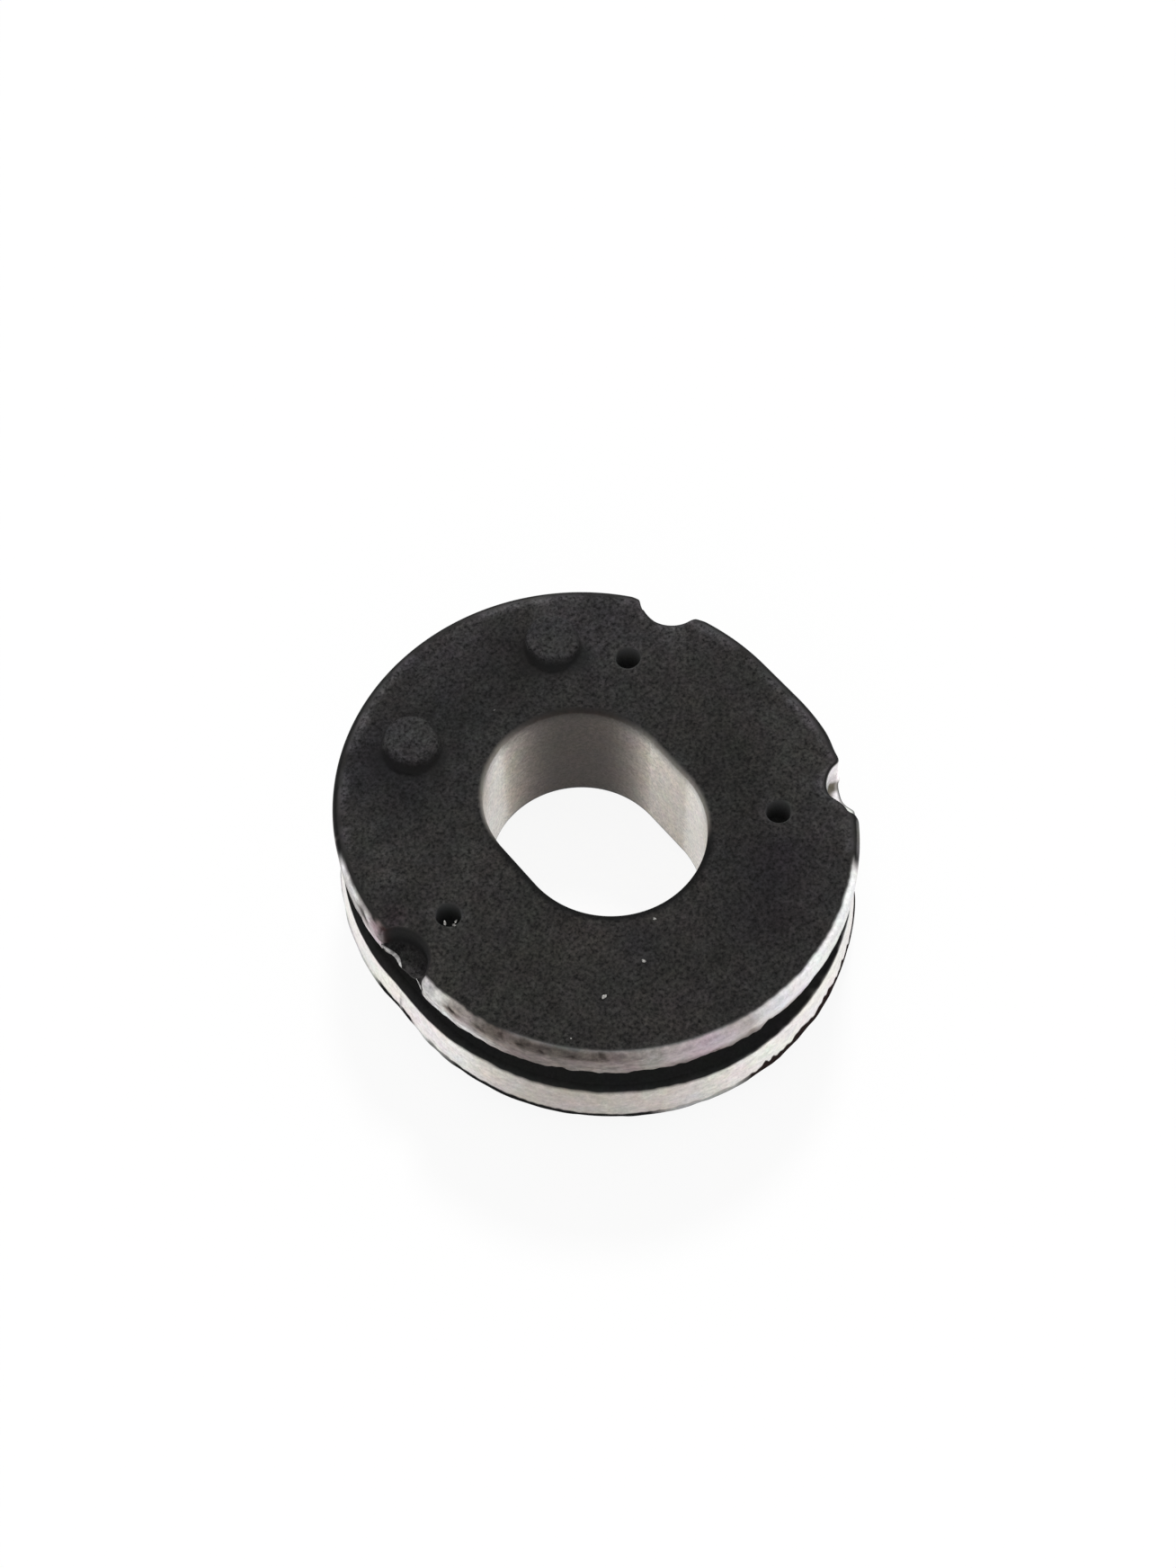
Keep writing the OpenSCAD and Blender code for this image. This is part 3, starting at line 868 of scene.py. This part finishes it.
# Fine grain, coarser grain and a slight play of hue, all of them fixed to the rubber.
grain = add(tree, "ShaderNodeTexNoise", Scale=4500.0, Detail=3.0, Roughness=0.8)
coarse = add(tree, "ShaderNodeTexNoise", Scale=1100.0, Detail=2.0)
hue = add(tree, "ShaderNodeTexNoise", Scale=500.0, Detail=4.0, Roughness=0.7)
flat = add(tree, "ShaderNodeMapping")
flat.inputs["Scale"].default_value = (1.0, 1.0, 2.2)
patch = add(tree, "ShaderNodeTexNoise", Scale=1500.0, Detail=4.0, Roughness=0.65)
for node in (grain, coarse, hue, flat):
    tree.links.new(place.outputs["Object"], node.inputs["Vector"])
tree.links.new(flat.outputs["Vector"], patch.inputs["Vector"])
grain_tone = times(
    tree,
    ramp(tree, grain.outputs["Fac"], 0.33, 0.67, 0.05, 1.95),
    ramp(tree, coarse.outputs["Fac"], 0.3, 0.7, 0.8, 1.2),
)
streak_tone = ramp(tree, patch.outputs["Fac"], 0.3, 0.65, 0.45, 1.25)
both = times(
    tree,
    part_of(tree, grain_tone, drawn["grain_part"].outputs["Fac"]),
    part_of(tree, streak_tone, drawn["streak"].outputs["Fac"]),
)
shade = add(tree, "ShaderNodeVectorMath", operation="SCALE")
tree.links.new(drawn["colour_and_painted_light"].outputs["Color"], shade.inputs[0])
tree.links.new(both, shade.inputs["Scale"])
hue_shift = add(tree, "ShaderNodeVectorMath", operation="MULTIPLY_ADD")
tree.links.new(hue.outputs["Color"], hue_shift.inputs[0])
hue_shift.inputs[1].default_value = (0.3, 0.3, 0.3)
hue_shift.inputs[2].default_value = (0.85, 0.85, 0.85)
tinted = add(tree, "ShaderNodeVectorMath", operation="MULTIPLY")
tree.links.new(shade.outputs["Vector"], tinted.inputs[0])
tree.links.new(hue_shift.outputs["Vector"], tinted.inputs[1])
tree.links.new(tinted.outputs["Vector"], shader.inputs["Base Color"])
tree.links.new(drawn["rough"].outputs["Fac"], shader.inputs["Roughness"])
tree.links.new(drawn["gleam"].outputs["Fac"], shader.inputs["Specular IOR Level"])
relief = add(tree, "ShaderNodeBump", Strength=0.3, Distance=0.00005)
tree.links.new(grain.outputs["Fac"], relief.inputs["Height"])
tree.links.new(relief.outputs["Normal"], shader.inputs["Normal"])

ring.data.materials.append(rubber)
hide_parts("ring")
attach(ring, "root")


# ---------------------------------------------------------------- torn skin
# Two slivers of torn rubber hang on the rear notch: a curled strip along the edge of
# its skin and a thin hair at its right corner. They are what the mould left behind.


def sliver(name, route, width, flat_by):
    """Thin strip along a route, pointed at both ends.

    The route's points are (place round the ring, distance out, height), joined by a
    smooth curve. Each ring of the strip is an ellipse, width across and flat_by times
    as high, and its width grows and shrinks as sin(pi t^1.6) to the power 0.6.
    """
    t = np.linspace(0, 1, 25)
    knots = np.linspace(0, 1, len(route))
    bends = np.polynomial.polynomial.polyfit(knots, np.array(route), len(route) - 1)
    lap, far, up = np.polynomial.polynomial.polyval(t, bends)
    base, outward = spine(lap)
    path = np.stack([*(base + outward * far), up], axis=-1)
    along = np.gradient(path, axis=0)
    along /= np.linalg.norm(along, axis=1, keepdims=True)
    across = np.cross(along, [0, 0, 1])
    across /= np.linalg.norm(across, axis=1, keepdims=True)
    rise = np.cross(across, along)
    swell = np.clip(np.sin(np.pi * t**1.6), 0.02, None) ** 0.6 * width
    turn = np.linspace(0, 2 * np.pi, 9)[:-1]
    ellipse = across[:, None] * np.cos(turn)[None, :, None]
    ellipse = ellipse + flat_by * rise[:, None] * np.sin(turn)[None, :, None]
    points = path[:, None] + swell[:, None, None] * ellipse
    index = np.arange(points[..., 0].size).reshape(points.shape[:2])
    beside = np.roll(index, -1, axis=1)
    quads = np.stack([index[:-1], beside[:-1], beside[1:], index[1:]], axis=-1).reshape(-1, 4)
    ends = [index[0, ::-1].tolist(), index[-1].tolist()]
    thing = new_object(name, points, quads.tolist() + ends)
    thing.data.shade_smooth()
    return thing


def mottled(name, dark, light, rough, shine, scale, detail, high):
    """Material whose colour wanders from dark to light with a noise fixed to the piece.

    The noise is dark up to 0.35 and light from high on.
    """
    material = bpy.data.materials.new(name)
    material.use_nodes = True
    tree = material.node_tree
    shader = tree.nodes["Principled BSDF"]
    shader.inputs["Roughness"].default_value = rough
    shader.inputs["Specular IOR Level"].default_value = shine
    place = add(tree, "ShaderNodeTexCoord")
    patch = add(tree, "ShaderNodeTexNoise", Scale=scale, Detail=detail)
    tree.links.new(place.outputs["Object"], patch.inputs["Vector"])
    # Inputs 6 and 7 of this node are its two colours, and output 2 is their mix.
    tone = add(tree, "ShaderNodeMix", data_type="RGBA")
    tone.inputs[6].default_value = dark
    tone.inputs[7].default_value = light
    tree.links.new(ramp(tree, patch.outputs["Fac"], 0.35, high, 0, 1), tone.inputs[0])
    tree.links.new(tone.outputs[2], shader.inputs["Base Color"])
    return material


TORN_DARK = (0.3, 0.29, 0.29, 1)
TORN_LIGHT = (0.7, 0.69, 0.68, 1)
pale_rubber = mottled(
    "torn_pale_rubber", TORN_DARK, TORN_LIGHT, rough=0.5, shine=0.3, scale=3000.0, detail=3.0, high=0.6
)
CURL = [
    # place round the ring, distance out, height
    (46.1, 14.68, 7.75), (46.9, 14.64, 7.85), (47.4, 14.58, 7.92),
    (47.9, 14.48, 7.95), (48.35, 14.52, 7.95), (48.8, 14.66, 7.9),
]
HAIR = [(49.8, 14.4, 7.85), (50.2, 14.5, 7.95), (50.5, 14.57, 7.85), (50.8, 14.66, 7.65)]
for name, route, width, flat_by in (("torn_strip", CURL, 0.12, 0.5), ("torn_hair", HAIR, 0.04, 0.8)):
    strip = sliver(name, route, width, flat_by)
    strip.data.materials.append(pale_rubber)
    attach(strip, "root")


# ---------------------------------------------------------------- crumbs
# A few pale crumbs of dust and rubber lie on the top face, three of them in the mouth
# of the rear pit. Each is a small flattened pebble.
CRUMBS = [
    # x, y, half length, turn in degrees
    (-7.23, -9.76, 0.17, 20), (-4.06, -9.46, 0.13, 120), (-1.86, -7.78, 0.11, 100),
    (-10.28, -10.55, 0.06, 70), (-0.31, 9.26, 0.06, 0),
    (-11.38, -0.30, 0.14, 60), (-10.83, -0.62, 0.1, 20), (-11.06, -0.74, 0.12, 150),
]


def pebble(x, y, size, turn, seed):
    """Points of a lumpy flattened ball: a grid of latitude and longitude, 7 by 10.

    Its radius varies by a sum of cosines of both angles, it is 0.6 as wide as long
    and 0.5 as high, and it is sunk a little into the face.
    """
    phases = np.random.default_rng(seed).uniform(0, 2 * np.pi, 4)
    tilt = np.linspace(0.15, np.pi - 0.15, 7)[:, None]
    spin = np.linspace(0, 2 * np.pi, 11)[None, :-1]
    lump = 1 + 0.2 * np.cos(2 * spin + phases[0]) * np.sin(tilt)
    lump = lump + 0.15 * np.cos(3 * spin + phases[1] + 2 * tilt)
    lump = lump + 0.1 * np.cos(5 * tilt + phases[2])
    along = lump * np.sin(tilt) * np.cos(spin)
    aside = 0.6 * lump * np.sin(tilt) * np.sin(spin)
    rise = 0.5 * lump * np.cos(tilt) * np.ones_like(spin)
    c, s = np.cos(np.radians(turn)), np.sin(np.radians(turn))
    x_here = x + size * (c * along - s * aside)
    y_here = y + size * (s * along + c * aside)
    return np.stack([x_here, y_here, HEIGHT + size * (rise + 0.2)], -1)


crumb_points = np.array([pebble(*crumb, 60 + n) for n, crumb in enumerate(CRUMBS)])
index = np.arange(crumb_points[..., 0].size).reshape(crumb_points.shape[:3])
beside = np.roll(index, -1, axis=2)
quads = np.stack([index[:, :-1], index[:, 1:], beside[:, 1:], beside[:, :-1]], axis=-1)
caps = index[:, 0].tolist() + index[:, -1, ::-1].tolist()
crumbs = new_object("crumbs", crumb_points, quads.reshape(-1, 4).tolist() + caps)
DUST_DARK = (0.12, 0.115, 0.11, 1)
DUST_LIGHT = (0.5, 0.49, 0.47, 1)
dust = mottled("dust", DUST_DARK, DUST_LIGHT, rough=0.9, shine=0.1, scale=6000.0, detail=2.0, high=0.65)
crumbs.data.materials.append(dust)
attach(crumbs, "root")


# ---------------------------------------------------------------- floor and light
# A plain white table under the ring. It shows white to the camera and in
# reflections, and part of it is still lit, so that it keeps the ring's shadow.
FLOOR_HALF = 3000
FLOOR_GAP = 0.02
corners = np.array([(-1, -1), (1, -1), (1, 1), (-1, 1)]) * FLOOR_HALF
floor_points = np.column_stack([corners, np.full(4, -FLOOR_GAP)])
floor = new_object("floor", floor_points, [(0, 1, 2, 3)])


def lay_over(tree, share, under, over, output):
    """Mixes two shaders by a share, 0 for the one under, and joins the mix to a new output."""
    mix = add(tree, "ShaderNodeMixShader")
    tree.links.new(share, mix.inputs["Fac"])
    tree.links.new(under.outputs[0], mix.inputs[1])
    tree.links.new(over.outputs[0], mix.inputs[2])
    tree.links.new(mix.outputs["Shader"], add(tree, output).inputs["Surface"])


WHITE = (1, 1, 1, 1)
paper = bpy.data.materials.new("white_table")
paper.use_nodes = True
tree = paper.node_tree
tree.nodes.clear()
lit = add(tree, "ShaderNodeBsdfDiffuse", Color=(0.9, 0.9, 0.9, 1))
glow = add(tree, "ShaderNodeEmission", Color=WHITE, Strength=1.0)
rays = add(tree, "ShaderNodeLightPath")
seen = add(tree, "ShaderNodeMath", operation="MAXIMUM")
seen_any = add(tree, "ShaderNodeMath", operation="MAXIMUM")
glow_share = add(tree, "ShaderNodeMath", operation="MULTIPLY")
glow_share.inputs[1].default_value = 0.9
tree.links.new(rays.outputs["Is Camera Ray"], seen.inputs[0])
tree.links.new(rays.outputs["Is Glossy Ray"], seen.inputs[1])
tree.links.new(seen.outputs[0], seen_any.inputs[0])
tree.links.new(rays.outputs["Is Transmission Ray"], seen_any.inputs[1])
tree.links.new(seen_any.outputs[0], glow_share.inputs[0])
lay_over(tree, glow_share.outputs[0], lit, glow, "ShaderNodeOutputMaterial")
floor.data.materials.append(paper)

# Soft white surroundings, a soft lamp behind the ring and a weak wide one before it.
world = bpy.data.worlds.new("studio")
bpy.context.scene.world = world
world.use_nodes = True
tree = world.node_tree
tree.nodes.clear()
rays = add(tree, "ShaderNodeLightPath")
soft = add(tree, "ShaderNodeBackground", Color=WHITE, Strength=0.65)
white = add(tree, "ShaderNodeBackground", Color=WHITE, Strength=1.0)
lay_over(tree, rays.outputs["Is Camera Ray"], soft, white, "ShaderNodeOutputWorld")

LAMPS = [
    # name, strength, width of its disc, azimuth and height in degrees
    ("key_lamp", 1.9, 11, 46, 48), ("fill_lamp", 0.7, 60, 226, 13),
]
for name, strength, disc, azimuth, height in LAMPS:
    lamp = bpy.data.objects.new(name, bpy.data.lights.new(name, "SUN"))
    bpy.context.scene.collection.objects.link(lamp)
    lamp.data.energy = strength
    lamp.data.angle = np.radians(disc)
    turn_to, rise_to = np.radians(azimuth), np.radians(height)
    level_part = np.cos(rise_to)
    to_lamp = Vector((level_part * np.cos(turn_to), level_part * np.sin(turn_to), np.sin(rise_to)))
    lamp.rotation_mode = "QUATERNION"
    lamp.rotation_quaternion = to_lamp.to_track_quat("Z", "Y")
bpy.context.scene.view_settings.view_transform = "Standard"
